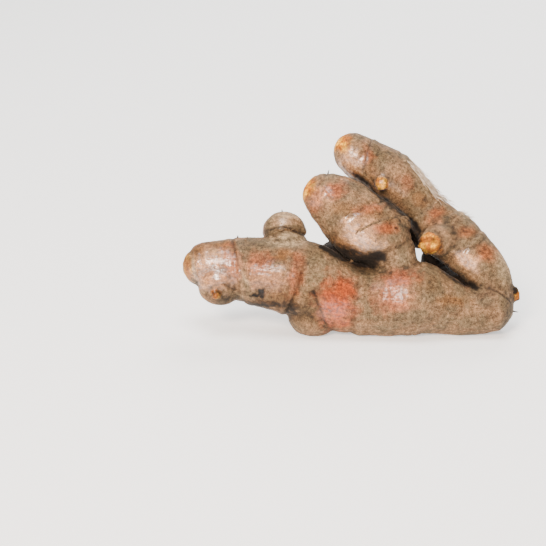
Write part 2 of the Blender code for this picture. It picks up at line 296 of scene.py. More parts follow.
ARMS = {
    "main": Arm(
        stations=[
            (54.6, 10.4, 0.0, 8.2), (48.3, 10.0, 0.0, 8.9), (42.7, 8.4, 0.0, 7.9), (36.7, 8.5, 0.0, 8.5),
            (30.0, 10.5, 0.0, 10.2), (24.5, 12.1, 0.0, 12.2), (18.5, 12.6, 0.0, 12.7),
            (11.7, 11.8, 0.0, 11.7), (2.7, 11.6, 0.0, 11.1), (-6.9, 14.5, 0.0, 11.9),
            (-12.5, 17.4, 0.0, 13.0), (-18.0, 19.3, 0.0, 12.8), (-25.0, 20.7, 0.0, 12.2),
            (-33.3, 21.8, 0.0, 11.1), (-39.3, 22.9, 0.0, 9.8), (-45.0, 23.4, 0.0, 8.3),
            (-50.5, 23.4, 0.0, 7.4), (-55.9, 23.7, 0.0, 6.8),
        ],
        tip=8.0, root=7.5,
        rings=[
            Ring(42.0, 14.0, 0.0, 1.0, 0.35),
            Ring(22.3, 14.0, 0.5, -1.0, 0.45),
            Ring(1.7, 13.0, 0.8, -0.5, 1.0),
            Ring(-16.0, 19.0, -1.8, 1.4, -2.0, 0.1),
            Ring(-36.5, 21.5, 2.8, 0.6, 0.9, 0.5),
            Ring(-52.0, 23.5, 1.0, 0.5, 0.7),
        ],
    ),
    "first_finger": Arm(
        stations=[
            (17.3, 12.0, 0.0, 8.5), (15.4, 22.0, -0.3, 7.8), (13.4, 27.4, -0.6, 8.4),
            (9.7, 32.6, -1.0, 10.8), (3.5, 37.2, -1.5, 11.4), (-1.7, 41.8, -1.5, 10.6),
            (-5.4, 44.5, -1.5, 9.4), (-10.2, 47.0, -1.0, 7.6), (-15.9, 48.6, -0.5, 5.6),
        ],
        tip=5.6,
        rings=[
            Ring(13.4, 27.4, 0.0, 1.0, 0.5),
            Ring(4.9, 35.9, -3.0, 6.0, 0.9),
            Ring(-10.0, 47.0, -1.0, 0.5, 0.5),
        ],
    ),
    "second_finger": Arm(
        stations=[
            (47.0, 9.5, 0.5, 7.6), (47.2, 17.6, 1.0, 7.3), (43.6, 24.5, 2.0, 7.7), (38.8, 29.2, 3.0, 8.5),
            (33.2, 33.8, 4.2, 8.9), (28.8, 38.6, 5.4, 7.9), (25.2, 42.8, 6.2, 6.7),
            (20.9, 47.7, 6.6, 7.2), (17.0, 51.5, 6.6, 8.3), (13.3, 54.4, 6.4, 8.5), (8.4, 57.7, 6.2, 7.6),
            (3.9, 59.7, 6.0, 7.6), (0.1, 61.9, 6.0, 6.7), (-4.8, 64.1, 6.0, 5.3),
        ],
        tip=5.2,
        rings=[
            Ring(38.7, 29.0, 0.0, -0.6, 0.5),
            Ring(31.2, 37.2, 1.0, -0.6, 0.5),
            Ring(25.9, 43.5, 0.0, -1.0, 0.7),
            Ring(16.5, 52.0, 3.8, 0.5, 0.6),
            Ring(5.6, 59.3, 0.6, 0.8, 0.5),
        ],
    ),
    "stub": Arm(
        stations=[
            (-20.5, 23.0, -0.5, 7.4), (-21.4, 31.5, 2.0, 6.7), (-22.0, 36.5, 3.6, 7.0),
            (-22.2, 41.6, 5.2, 6.3),
        ],
        tip=5.0,
        rings=[Ring(-21.8, 34.4, 0.0, 0.0, -1.5)],
    ),
    "rear_knob": Arm(
        stations=[
            (3.0, 15.0, 3.0, 9.5), (-2.6, 23.2, 11.0, 9.4), (-2.2, 19.4, 20.0, 9.5),
            (-1.6, 12.2, 30.5, 8.4),
        ],
        tip=8.0,
        rings=[Ring(-2.4, 21.5, 2.0, 0.0, 1.0)],
    ),
    "broken_finger": Arm(
        stations=[(28.0, 11.5, 2.0, 7.0), (30.0, 11.8, 12.0, 6.3), (30.8, 11.6, 19.0, 5.7)],
        tip=1.2,
    ),
    "under_knob": Arm(
        stations=[(-12.4, 13.0, 0.0, 7.5), (-12.8, 6.0, 0.2, 8.0), (-13.4, -0.2, 0.4, 7.2)],
        tip=5.5,
    ),
    "left_bud": Arm(
        stations=[(-42.0, 20.5, 0.0, 7.8), (-43.6, 16.6, -4.0, 7.2), (-44.4, 13.8, -8.2, 5.0)],
        tip=3.4,
        rings=[Ring(-43.6, 16.6, 0.0, 0.0, 0.8)],
    ),
    "left_bud_tip": Arm(
        stations=[(-44.2, 14.4, -6.0, 1.8), (-44.8, 13.2, -10.4, 1.4)],
        tip=1.4,
    ),
    "small_bud": Arm(
        stations=[(11.4, 51.8, 2.8, 3.0), (10.6, 50.9, -0.8, 2.3), (10.0, 49.7, -3.4, 1.8)],
        tip=1.8,
    ),
    "large_bud": Arm(
        stations=[
            (32.0, 33.6, 0.5, 5.6), (29.0, 32.0, -2.8, 5.3), (27.0, 31.1, -4.2, 4.5),
            (25.8, 30.6, -5.2, 3.6), (24.2, 29.8, -8.8, 3.0),
        ],
        tip=4.0,
    ),
    "right_bud": Arm(
        stations=[(52.6, 15.2, 0.0, 2.6), (54.6, 14.2, -0.2, 2.2), (55.6, 11.4, -0.4, 1.5)],
        tip=1.6,
    ),
    "ear": Arm(
        stations=[(12.5, 35.2, -2.0, 4.6), (19.8, 38.6, -3.8, 3.1)],
        tip=2.4,
    ),
    "rear_shoulder": Arm(
        stations=[
            (38.0, 12.5, 5.5, 7.2), (33.6, 17.0, 11.0, 5.4), (30.0, 24.0, 16.2, 4.6),
            (27.0, 29.0, 17.5, 4.2),
        ],
        tip=4.0,
    ),
    "inner_knob": Arm(
        stations=[(31.0, 36.5, 6.0, 6.5), (25.5, 35.2, 9.5, 5.6), (20.6, 32.6, 12.0, 5.0)],
        tip=4.0,
    ),
    "rear_bud": Arm(
        stations=[(-31.0, 21.0, 2.0, 5.0), (-32.5, 23.5, 10.0, 4.4), (-33.4, 24.8, 14.6, 3.4)],
        tip=3.0,
    ),
}

# Arms whose tips are soft young buds, with the distance from the tip that is still yellow.
YOUNG_TIPS = {
    "small_bud": 3.4,
    "large_bud": 4.8,
    "left_bud_tip": 3.0,
    "right_bud": 4.0,
    "rear_bud": 2.4,
}

# Arms whose front lies in the depth of a crook, painted dark there as painted shade.
DEEP_ARMS = ("rear_shoulder", "inner_knob")

# The patches of each finish, each with the values of a Patch.
PATCHES = {
    # The flesh glows salmon through the thinnest skin.
    "flush": (
        (-4.4, 10.8, 6.8, 9.0, 0, 1.0), (-2.2, 15.2, 4.8, 4.8, 0, 1.0), (16.0, 18.6, 7.0, 3.6, 10, 0.7),
        (14.0, 13.0, 6.6, 5.8, 0, 0.6), (12.0, 35.7, 4.4, 2.2, 5, 0.6), (6.6, 42.6, 6.0, 1.8, 10, 0.45),
        (-5.6, 48.4, 5.0, 3.0, 15, 0.6), (-11.4, 45.4, 3.0, 5.0, 0, 0.5), (5.8, 60.4, 2.4, 3.6, 10, 0.4),
        (18.7, 51.6, 3.4, 2.8, 0, 0.35), (28.3, 40.6, 3.4, 2.6, 20, 0.4), (39.2, 34.6, 3.0, 2.0, 0, 0.3),
        (45.4, 27.7, 3.8, 3.0, -20, 0.4), (-39.6, 24.0, 4.0, 5.8, 10, 0.6),
        (-43.8, 21.0, 7.0, 6.4, 0, 0.25), (-30.2, 23.4, 5.0, 4.6, 0, 0.55),
        (-18.0, 20.4, 3.0, 7.4, -6, 0.5), (-28.0, 19.0, 7.0, 4.0, 0, 0.25),
    ),
    # Golden brown cork, also round the left bud and on the large one.
    "ochre": (
        (-22.2, 27.2, 3.8, 2.4, 0, 0.9), (-42.4, 30.6, 3.8, 1.5, 10, 0.8),
        (-51.0, 28.4, 4.0, 2.4, 40, 0.8), (-47.0, 30.2, 4.0, 1.4, 10, 0.6),
        (-23.0, 12.4, 8.0, 3.4, 0, 0.6), (34.4, 11.8, 5.6, 2.2, 0, 0.7), (25.0, 17.0, 5.0, 3.0, 0, 0.3),
        # The row at -3.4 across, 29.4 up is painted shade on the first finger's lower belly.
        (-3.4, 29.4, 9.0, 3.6, -20, 0.7), (-2.4, 42.4, 4.2, 3.0, 0, 0.6), (7.0, 40.6, 8.0, 1.8, 0, 0.5),
        (23.4, 45.4, 3.6, 2.2, -40, 0.6), (14.0, 38.6, 4.0, 1.6, 0, 0.5), (12.0, 35.7, 4.4, 2.2, 5, 0.5),
        (28.3, 40.6, 3.8, 3.0, 20, 0.5), (39.2, 34.6, 3.4, 2.4, 0, 0.5), (45.4, 27.7, 3.8, 3.2, -20, 0.5),
        (7.0, 57.6, 3.0, 4.6, 10, 0.35), (-44.8, 13.4, 1.8, 1.4, 0, 0.7),
        (27.4, 32.2, 1.6, 1.0, 0, 1.1, ("large_bud",)), (26.6, 28.6, 2.2, 0.6, 0, 0.8, ("large_bud",)),
        (29.8, 29.6, 1.2, 3.0, 0, 1.3, ("large_bud",)),
    ),
    # Greenish grey cork.
    "olive": (
        (-29.4, 29.6, 10.0, 3.0, 0, 0.8), (10.6, 60.8, 4.0, 2.6, -20, 0.7),
        (3.4, 39.4, 2.2, 7.0, -38, 0.7), (22.0, 47.0, 3.0, 5.0, -40, 0.5),
        (-25.0, 25.0, 7.0, 2.6, 0, 0.6), (33.0, 40.0, 8.0, 3.0, -45, 0.5), (29.0, 19.0, 6.0, 4.0, 0, 0.6),
        # Rows at -10.4, -12.0 and -12.6 across: painted shade over grey cork beside the scar at -16
        # across.
        (6.0, 17.0, 3.0, 6.0, 0, 0.5), (48.0, 20.0, 6.0, 6.0, 0, 0.4), (-10.4, 17.0, 6.4, 9.0, 0, 0.9),
        (-12.0, 25.4, 4.4, 4.4, 0, 0.9), (-12.6, 9.0, 5.4, 5.0, 0, 0.9),
    ),
    # Yellow flesh at the tips and in the scar of the cut-back left arm.
    "tip": (
        (-54.6, 22.8, 2.0, 5.6, 0, 0.6), (-15.0, 49.6, 3.0, 4.4, -15, 1.2),
        (-3.6, 65.0, 3.6, 3.6, 0, 1.3),
    ),
    # Dry pale skin.
    "pale": (
        (-20.8, 31.6, 6.2, 2.5, 0, 0.9), (-52.4, 24.0, 0.8, 5.0, 12, 0.8),
        (27.0, 52.0, 7.6, 2.6, -42, 0.7), (37.0, 42.4, 4.0, 1.6, -40, 0.6),
        (51.0, 24.0, 2.8, 7.0, 8, 0.5), (16.6, 25.8, 8.0, 2.0, 4, 0.35), (-9.0, 20.0, 6.0, 7.0, 0, 0.2),
        (-21.6, 37.0, 4.6, 1.4, 0, 0.35), (-21.6, 40.0, 5.4, 2.6, 0, 0.6),
        (24.8, 32.4, 1.2, 0.8, 0, 1.0, ("large_bud",)),
    ),
    # Wax, where the skin is tight and glints; its pale tint is a painted highlight.
    "wax_and_highlight": (
        (-45.4, 22.0, 7.6, 6.2, 0, 1.0), (-28.0, 19.6, 6.6, 4.4, 0, 0.35),
        (-10.0, 46.4, 3.6, 3.4, 0, 0.7), (-0.6, 38.4, 2.4, 1.4, 0, 1.6), (4.2, 33.6, 6.6, 6.0, -20, 1.0),
        (-5.2, 9.0, 5.6, 4.2, 0, 0.45), (15.0, 13.6, 6.4, 5.2, 0, 0.25), (0.6, 57.4, 4.4, 5.0, 0, 0.8),
        (39.4, 25.4, 4.4, 3.2, -20, 0.9), (12.0, 49.6, 6.0, 3.0, -30, 0.35),
        (-21.8, 38.0, 4.0, 2.0, 0, 0.3),
    ),
    # Soil that washing left in hollows, dark cork over the right bud, and painted shade along the lower
    # edge, under the first finger and on the rear knob.
    "soil_and_shade": (
        (55.2, 15.4, 1.4, 1.6, 0, 1.5, ("right_bud",)), (56.2, 11.2, 1.6, 1.4, 0, 1.5, ("right_bud",)),
        (-29.8, 15.2, 1.7, 1.0, 20, 1.8), (-31.6, 13.8, 1.7, 0.8, 10, 1.5),
        (-29.2, 13.4, 0.9, 0.8, 0, 1.2), (-29.0, 10.6, 13.0, 1.8, 0, 0.9), (-19.4, 8.6, 3.4, 3.6, 0, 0.9),
        (-38.6, 32.6, 1.6, 0.5, 0, 0.9), (-40.6, 12.0, 3.0, 1.4, 0, 0.8), (-12.4, 14.6, 1.0, 0.9, 0, 0.8),
        (15.4, 36.0, 0.7, 0.5, 0, 0.9), (25.2, 45.4, 1.4, 0.9, -30, 0.6), (8.6, 31.8, 0.5, 0.4, 0, 0.8),
        (16.0, 29.6, 1.2, 0.7, 0, 0.5), (1.6, 52.2, 1.2, 0.8, 0, 0.7),
        (0.6, 27.8, 7.6, 2.2, -14, 1.0, ("first_finger",)),
        (-8.0, 29.6, 4.0, 3.0, 0, 1.0, ("rear_knob",)),
    ),
}

STROKES = [
    Stroke([(-12.0, 15.0), (-11.3, 13.0), (-10.5, 10.3), (-9.4, 7.6), (-8.4, 5.0)], 0.55, 0.30, 0.8),
    Stroke([(7.3, 65.3), (6.0, 62.0), (5.3, 58.7), (4.3, 55.3)], 0.45, 0.25, 0.7),
    Stroke([(45.7, 33.3), (42.7, 30.3), (36.0, 28.0), (31.7, 25.3)], 0.50, 0.20, 0.6),
    Stroke([(43.3, 17.0), (46.7, 15.7), (50.0, 14.3), (52.7, 12.0), (53.7, 11.0)], 0.22, 0.15, 0.7),
    Stroke([(-28.5, 35.0), (-25.5, 35.8), (-22.2, 36.4), (-19.3, 35.6), (-15.6, 33.6)], 0.55, 0.20, 0.9),
    Stroke([(-24.2, 39.0), (-21.8, 39.4), (-19.4, 38.6)], 0.5, 0.10, 0.45),
    Stroke([(-46.8, 12.6), (-45.6, 14.6), (-43.6, 14.8), (-42.4, 12.8)], 0.45, 0.20, 0.9),
    Stroke([(-48.2, 13.4), (-46.0, 17.0), (-42.0, 17.4), (-38.4, 15.2)], 0.40, 0.20, 0.6),
    Stroke([(-39.2, 31.8), (-38.2, 27.4), (-36.8, 23.0), (-36.2, 20.2), (-34.2, 16.6)], 0.4, 0.20, 0.6),
    Stroke([(28.4, 35.2), (30.6, 33.0), (30.6, 29.6), (28.4, 27.6)], 0.5, 0.25, 0.7),
    # The pale rim beside the scar on the left arm.
    Stroke([(-37.6, 27.0), (-36.8, 23.0), (-35.9, 20.3), (-33.8, 17.0)], 0.6, 0.0, 0.9, (), "pale"),
    # Painted shade in the dark crooks under the first finger, between the fingers, and under the
    # second one.
    Stroke([(-8.8, 30.0), (-5.4, 28.0), (-1.2, 26.2), (3.0, 25.2), (7.2, 25.0), (9.4, 26.0)],
           3.0, 0.0, 1.35, ("first_finger", "rear_knob"), "soil_and_shade"),
    Stroke([(-9.6, 29.6), (-6.0, 27.4), (-2.0, 25.4), (3.0, 24.0), (7.4, 23.8)],
           0.9, 0.0, 1.3, ("main",), "soil_and_shade"),
    Stroke([(1.4, 54.2), (5.4, 51.4), (8.4, 48.0), (14.0, 43.2), (19.0, 39.6), (21.8, 37.4),
            (23.0, 34.6), (22.6, 31.0)], 1.0, 0.0, 1.0, (), "soil_and_shade"),
    Stroke([(24.6, 27.6), (28.0, 25.4), (32.0, 22.4), (36.4, 19.0), (42.0, 16.0)],
           1.5, 0.0, 1.0, ("second_finger", "large_bud", "rear_shoulder"), "soil_and_shade"),
    Stroke([(31.0, 21.6), (35.6, 17.8), (42.0, 15.6)], 0.6, 0.0, 0.8, ("main",), "soil_and_shade"),
]

SCALES = [
    Scale("main", -36.5, 21.5, 62, 100, 1.1),
    Scale("main", 1.7, 13.0, 150, 215, 1.8),
    Scale("main", -36.5, 21.5, 130, 230, 1.6),
    Scale("main", -16.0, 19.0, 140, 200, 1.6),
    Scale("main", 22.3, 14.0, 120, 190, 1.6),
    Scale("main", 42.0, 14.0, 100, 170, 1.4),
    Scale("stub", -21.8, 34.4, -40, 50, 0.7),
    Scale("stub", -21.8, 34.4, 130, 220, 1.1),
    Scale("first_finger", 4.9, 35.9, 130, 220, 1.6),
    Scale("first_finger", -10.0, 47.0, 120, 180, 1.2),
    Scale("second_finger", 25.9, 43.5, 50, 88, 0.8),
    Scale("second_finger", 31.2, 37.2, 74, 120, 1.1),
    Scale("second_finger", 5.6, 59.3, 60, 86, 0.8),
    Scale("second_finger", 38.7, 29.0, 110, 200, 1.5),
    Scale("second_finger", 16.5, 52.0, 130, 220, 1.3),
    Scale("rear_knob", -2.4, 21.5, 0, 200, 1.5),
]

TUFTS = [
    Tuft("second_finger", (15.0, 53.2), (24.0, 44.2), 48, 98, 9.5, 0.75),
    Tuft("second_finger", (30.6, 37.4), (34.0, 33.6), 72, 96, 3.4, 0.11),
    Tuft("second_finger", (38.8, 29.2), (44.0, 24.0), 120, 170, 5.0, 0.14),
]

STUMPS = [
    Stump((-22.2, 38.0, 4.5), (-0.1, 1.0, 0.0), 1.2),
    Stump((-8.2, 46.0, -1.0), (0.1, 1.0, 0.0), 1.5),
    Stump((-37.4, 22.5, 0.0), (0.0, 1.0, -0.1), 0.7),
    Stump((-48.0, 23.4, 0.0), (-0.1, -0.6, 1.0), 1.8),
    Stump((-28.0, 21.0, 0.0), (0.1, -0.4, 1.0), 2.4),
    Stump((-9.0, 16.0, 0.0), (-0.5, -0.6, 0.6), 1.6),
    Stump((20.0, 12.4, 0.0), (0.1, 0.3, 1.0), 2.0),
    Stump((44.0, 9.0, 0.0), (0.5, 0.1, 1.0), 2.6),
    Stump((6.0, 36.0, -1.0), (0.3, 0.2, 1.0), 1.6),
    Stump((36.0, 31.6, 3.6), (0.6, 0.4, 1.0), 2.0),
    Stump((12.0, 55.0, 6.4), (0.2, 0.3, 1.0), 1.4),
    Stump((50.0, 10.0, 0.0), (1.0, -0.4, 0.2), 1.8),
]

FINISHES = ("flush", "ochre", "olive", "tip", "pale", "wax_and_highlight", "soil_and_shade", "scar")


def linear(colour):
    """A hex colour in sRGB as linear red, green, blue and alpha."""
    channels = [int(colour[k:k + 2], 16) / 255 for k in (1, 3, 5)]
    return (*[c / 12.92 if c <= 0.04045 else ((c + 0.055) / 1.055) ** 2.4 for c in channels], 1.0)


class TurmericSkinSettings(bpy.types.PropertyGroup):
    """Sizes and colours of the skin."""
    fineness: FloatProperty(
        name="Fineness", description="Side of the skin mesh's squares",
        default=0.50 * MM, min=0.2 * MM, max=2.0 * MM, precision=5, unit="LENGTH")
    wrinkles: FloatProperty(
        name="Wrinkles", description="Depth of the fine rings and creases",
        default=0.15 * MM, min=0.0, max=1.0 * MM, precision=5, unit="LENGTH")
    cork: FloatVectorProperty(
        name="Cork", description="Colour of the dry outer skin", subtype="COLOR", size=4,
        default=linear("#69553c"))
    tan: FloatVectorProperty(
        name="Tan", description="Colour of the skin where the cork is thin", subtype="COLOR", size=4,
        default=linear("#806042"))
    flush: FloatVectorProperty(
        name="Flush", description="Colour of the flesh seen through the skin", subtype="COLOR", size=4,
        default=linear("#943805"))


class TurmericTrimSettings(bpy.types.PropertyGroup):
    """Sizes and numbers of what lies on the skin."""
    scale_thickness: FloatProperty(
        name="Scale thickness", description="Thickness of the dry scale remains",
        default=0.14 * MM, min=0.05 * MM, max=0.5 * MM, precision=5, unit="LENGTH")
    hair_count: IntProperty(
        name="Root hairs", description="Number of root hairs on the second finger",
        default=190, min=0, max=300)
    hair_girth: FloatProperty(
        name="Hair girth", description="Radius of a root hair at its middle",
        default=0.085 * MM, min=0.02 * MM, max=0.3 * MM, precision=5, unit="LENGTH")


class TurmericStudioSettings(bpy.types.PropertyGroup):
    """The plain studio."""
    floor: FloatVectorProperty(
        name="Floor", description="Colour of the floor", subtype="COLOR", size=4,
        default=linear("#f4f3f1"))
    distance: FloatProperty(
        name="Distance", description="From the camera to the rhizome",
        default=0.506, min=0.1, max=5.0, unit="LENGTH")
    key_power: FloatProperty(
        name="Key light", description="Power of the light over the camera",
        default=14.0, min=0.0, unit="POWER")
    fill_power: FloatProperty(
        name="Fill light", description="Power of the soft light above and of the one behind",
        default=10.0, min=0.0, unit="POWER")


def from_plane(across, up, back):
    """A point of the leaning plane, in millimetres, in the frame whose origin is under the middle."""
    return np.array([
        across - ORIGIN_ACROSS,
        up * math.sin(LEAN) + back * math.cos(LEAN) - ORIGIN_BACK,
        up * math.cos(LEAN) - back * math.sin(LEAN) - SUNK_IN_TABLE,
    ])


def smooth_line(stations, step):
    """Points (x, y, z, radius) about a step apart on a smooth line through the stations."""
    knots = np.array([[*from_plane(*s[:3]), s[3]] for s in stations])
    ends = [2 * knots[0] - knots[1], 2 * knots[-1] - knots[-2]]
    padded = np.vstack([ends[0], knots, ends[1]])
    points = []
    for k in range(len(knots) - 1):
        p0, p1, p2, p3 = padded[k:k + 4]
        count = max(2, round(float(np.linalg.norm((p2 - p1)[:3])) / step))
        for t in np.arange(count) / count:
            points.append(0.5 * (
                2 * p1 + (p2 - p0) * t + (2 * p0 - 5 * p1 + 4 * p2 - p3) * t * t
                + (3 * p1 - p0 - 3 * p2 + p3) * t ** 3
            ))
    points.append(knots[-1])
    return np.array(points)


def distances_along(line):
    """Distance of each point of a line from its first one."""
    steps = np.linalg.norm(np.diff(line[:, :3], axis=0), axis=1)
    return np.concatenate([[0.0], np.cumsum(steps)])


def ways_along(line):
    """The direction in which the line runs at each of its points."""
    ways = np.gradient(line[:, :3], axis=0)
    return ways / np.linalg.norm(ways, axis=1)[:, None]


def rounded_line(arm):
    """The arm's line with its radius drawn in to a round tip, and to a round root where it is free."""
    line = smooth_line(arm.stations, LINE_STEP)
    along = distances_along(line)
    for rounding, depth in ((arm.tip, along[-1] - along), (arm.root, along)):
        if rounding > 0:
            share = np.clip(depth / rounding, 0.0, 1.0)
            line[:, 3] *= np.sqrt(np.clip(1 - (1 - share) ** 2, END_LEAST, 1.0))
    return line


LINES = {name: rounded_line(arm) for name, arm in ARMS.items()}


def along_at(name, across, up):
    """Distance along the arm of the point of its line that is nearest to a point of the plane."""
    line = LINES[name]
    gaps = np.linalg.norm(line[:, :3] - from_plane(across, up, 0.0), axis=1)
    return distances_along(line)[np.argmin(gaps)]


def noise_at(points, size, shift=0.0):
    """Smooth noise between about -1 and 1, with lumps of that size."""
    return np.array([noise.noise(Vector(p)) for p in points / size + shift])


def layered_noise(points, layers):
    """Noise in layers, each with its height or share, its size and its shift."""
    return sum(share * noise_at(points, size, shift) for share, size, shift in layers)


def rise(values, start, end):
    """0 up to the start, 1 from the end on, and smooth between them."""
    share = np.clip((values - start) / (end - start), 0.0, 1.0)
    return share * share * (3 - 2 * share)


def bell(values, width):
    """1 at zero, falling off to both sides over the width."""
    return np.exp(-(values / width) ** 2)


def start_piece():
    """Leaves nothing selected, so that the next operator acts on its own piece alone."""
    if bpy.context.object and bpy.context.object.mode != "OBJECT":
        bpy.ops.object.mode_set(mode="OBJECT")
    bpy.ops.object.select_all(action="DESELECT")


def face_outward():
    """Turns all faces of the piece in edit mode outward, and leaves edit mode."""
    bpy.ops.mesh.select_all(action="SELECT")
    bpy.ops.mesh.normals_make_consistent(inside=False)
    bpy.ops.object.mode_set(mode="OBJECT")


def extruded_tube(name, line, sides):
    """A closed tube along the line (x, y, z, radius in millimetres): a circle that is extruded to
    each next point, brought to its girth and turned to the line's new direction."""
    start_piece()
    centres = [Vector(point[:3]) * MM for point in line]
    ways = [Vector(way) for way in ways_along(line)]
    facing = Vector((0.0, 0.0, 1.0)).rotation_difference(ways[0])
    bpy.ops.mesh.primitive_circle_add(
        vertices=sides, radius=line[0][3] * MM, fill_type="NGON",
        location=centres[0], rotation=facing.to_euler())
    tube = bpy.context.object
    tube.name = name
    bpy.ops.object.transform_apply(location=True, rotation=True, scale=True)
    bpy.ops.object.mode_set(mode="EDIT")
    for k in range(1, len(line)):
        bpy.ops.mesh.extrude_region_move(TRANSFORM_OT_translate={"value": centres[k] - centres[k - 1]})
        widening = line[k][3] / line[k - 1][3]
        bpy.ops.transform.resize(value=(widening,) * 3, center_override=centres[k])
        for axis, angle in zip("XYZ", ways[k - 1].rotation_difference(ways[k]).to_euler()):
            # With no window the operator turns the other way.
            bpy.ops.transform.rotate(
                value=-angle, orient_axis=axis, orient_type="GLOBAL", center_override=centres[k])
    face_outward()
    return tube


def join_pieces(name, pieces):
    """One object from several."""
    start_piece()
    for piece in pieces:
        piece.select_set(True)
    bpy.context.view_layer.objects.active = pieces[0]
    bpy.ops.object.join()
    pieces[0].name = name
    pieces[0].data.name = name
    return pieces[0]


def apply_modifier(piece, kind, **values):
    """Adds a modifier with its values and applies it."""
    bpy.context.view_layer.objects.active = piece
    modifier = piece.modifiers.new(kind.lower(), kind)
    for key, value in values.items():
        setattr(modifier, key, value)
    bpy.ops.object.modifier_apply(modifier=modifier.name)


def read_points(piece):
    """The piece's points, in millimetres."""
    points = np.empty(len(piece.data.vertices) * 3)
    piece.data.vertices.foreach_get("co", points)
    return points.reshape(-1, 3) / MM


def read_normals(piece):
    """The direction in which the piece's surface faces at each point."""
    normals = np.empty(len(piece.data.vertices) * 3)
    piece.data.vertex_normals.foreach_get("vector", normals)
    return normals.reshape(-1, 3)


def write_points(piece, points):
    """Moves the piece's points to those places, in millimetres."""
    piece.data.vertices.foreach_set("co", (points * MM).ravel())
    piece.data.update()


def write_attribute(piece, name, values):
    """Keeps one number or one vector for each point of the piece."""
    kind, field = ("FLOAT_VECTOR", "vector") if values.ndim == 2 else ("FLOAT", "value")
    attribute = piece.data.attributes.new(name, kind, "POINT")
    attribute.data.foreach_set(field, values.astype(np.float32).ravel())


class Places:
    """Where points lie on their nearest arms: the arm's number, the distance along it, the offset
    from its middle line, and how much nearer that arm is than the next one."""

    def __init__(self, points):
        count = len(points)
        self.arm = np.zeros(count, int)
        self.along = np.zeros(count)
        self.offset = np.zeros((count, 3))
        nearest = np.full(count, np.inf)
        rival = np.full(count, np.inf)
        for number, line in enumerate(LINES.values()):
            middles = line[:, :3]
            at = np.argmin((middles ** 2).sum(axis=1) - 2 * points @ middles.T, axis=1)
            ways = ways_along(line)[at]
            offset = points - middles[at]
            outside = np.linalg.norm(offset, axis=1) - line[at, 3]
            ahead = np.einsum("ij,ij->i", offset, ways)
            closer = outside < nearest
            rival = np.where(closer, nearest, np.minimum(rival, outside))
            nearest = np.minimum(nearest, outside)
            self.arm[closer] = number
            self.along[closer] = (distances_along(line)[at] + ahead)[closer]
            self.offset[closer] = (offset - ahead[:, None] * ways)[closer]
        self.gap = rival - nearest
        self.clear = rise(self.gap, 0.0, CROOK_FADE)
        self.outward = self.offset / np.linalg.norm(self.offset, axis=1)[:, None]


def seen_from_front(points):
    """Across and up in the plane, as the camera sees each point."""
    rel = points - from_plane(AIM_ACROSS, AIM_UP, 0.0)
    distance = bpy.context.scene.turmeric_studio.distance / MM
    nearness = distance / (distance - rel @ FRONT)
    return AIM_ACROSS + rel @ RIGHT * nearness, AIM_UP + rel @ UPPER * nearness


def ring_profile(beyond):
    """Height of a ring of strength 1 at a distance beyond it, in millimetres."""
    before = 0.5 - 0.5 * np.tanh(beyond / RING_EDGE)
    swelling = RING_RISE * before * bell(beyond, RING_REACH)
    groove = RING_GROOVE * bell(beyond - GROOVE_WIDTH / 2, GROOVE_WIDTH)
    return swelling - groove


def ring_relief(points, places, wobble):
    """Height, darkness of the groove and paleness of the edge that the rings give each point."""
    height = np.zeros(len(wobble))
    groove = np.zeros(len(wobble))
    edge = np.zeros(len(wobble))
    for number, (name, arm) in enumerate(ARMS.items()):
        own = places.arm == number
        outward = places.outward[own]
        for ring in arm.rings:
            lead = ring.upper_lead * (outward @ UPPER) + ring.front_lead * (outward @ FRONT)
            beyond = places.along[own] - along_at(name, ring.across, ring.up) - lead + wobble[own]
            beyond *= math.copysign(1.0, ring.strength)
            swing = RING_SWING * noise_at(points[own], RING_PATCH, ring.across)
            uneven = np.clip(RING_MIDDLE + swing, *RING_SHARES)
            lower = 1 - rise(outward @ UPPER, *UPPER_FADE)
            power = abs(ring.strength) * uneven * (ring.upper_share + (1 - ring.upper_share) * lower)
            mark = np.minimum(power, STRONGEST_MARK)
            height[own] += power * ring_profile(beyond)
            groove[own] += mark * bell(beyond - GROOVE_MARK[0], GROOVE_MARK[1])
            edge[own] += mark * bell(beyond - EDGE_MARK[0], EDGE_MARK[1])
    return height, groove, edge


def stroke_mask(stroke, across, up):
    """1 on the stroke's line, falling off over its width."""
    nearest = np.full(len(across), np.inf)
    for (x0, y0), (x1, y1) in zip(stroke.points, stroke.points[1:]):
        run_x = x1 - x0
        run_y = y1 - y0
        share = ((across - x0) * run_x + (up - y0) * run_y) / (run_x ** 2 + run_y ** 2)
        share = np.clip(share, 0.0, 1.0)
        nearest = np.minimum(nearest, np.hypot(across - x0 - share * run_x, up - y0 - share * run_y))
    return bell(nearest, stroke.width)


def patch_mask(patch, across, up, ragged):
    """The patch's strength in its middle, falling off unevenly to its rim."""
    turn = math.radians(patch.turn)
    right = (across - patch.across) * math.cos(turn) + (up - patch.up) * math.sin(turn)
    high = (up - patch.up) * math.cos(turn) - (across - patch.across) * math.sin(turn)
    reach = np.hypot(right / patch.half_across, high / patch.half_up)
    return patch.strength * (1 - rise(reach + ragged, *PATCH_FADE))


def root_dots(points):
    """Small round scars of shed rootlets: 1 on a dot, falling off to nothing round it."""
    draw = random.Random(DOT_SEED)
    mask = np.zeros(len(points))
    for _ in range(ROOT_DOTS):
        middle = points[draw.randrange(len(points))]
        size = draw.uniform(*DOT_SIZES)
        near = np.abs(points - middle).max(axis=1) < 3 * size
        mask[near] = np.maximum(mask[near], bell(np.linalg.norm(points[near] - middle, axis=1), size))
    return mask


def arm_mask(places, names):
    """1 on the arms with those names, and everywhere where no name is given."""
    numbers = [list(ARMS).index(name) for name in names]
    return np.isin(places.arm, numbers) if names else np.ones(len(places.arm))


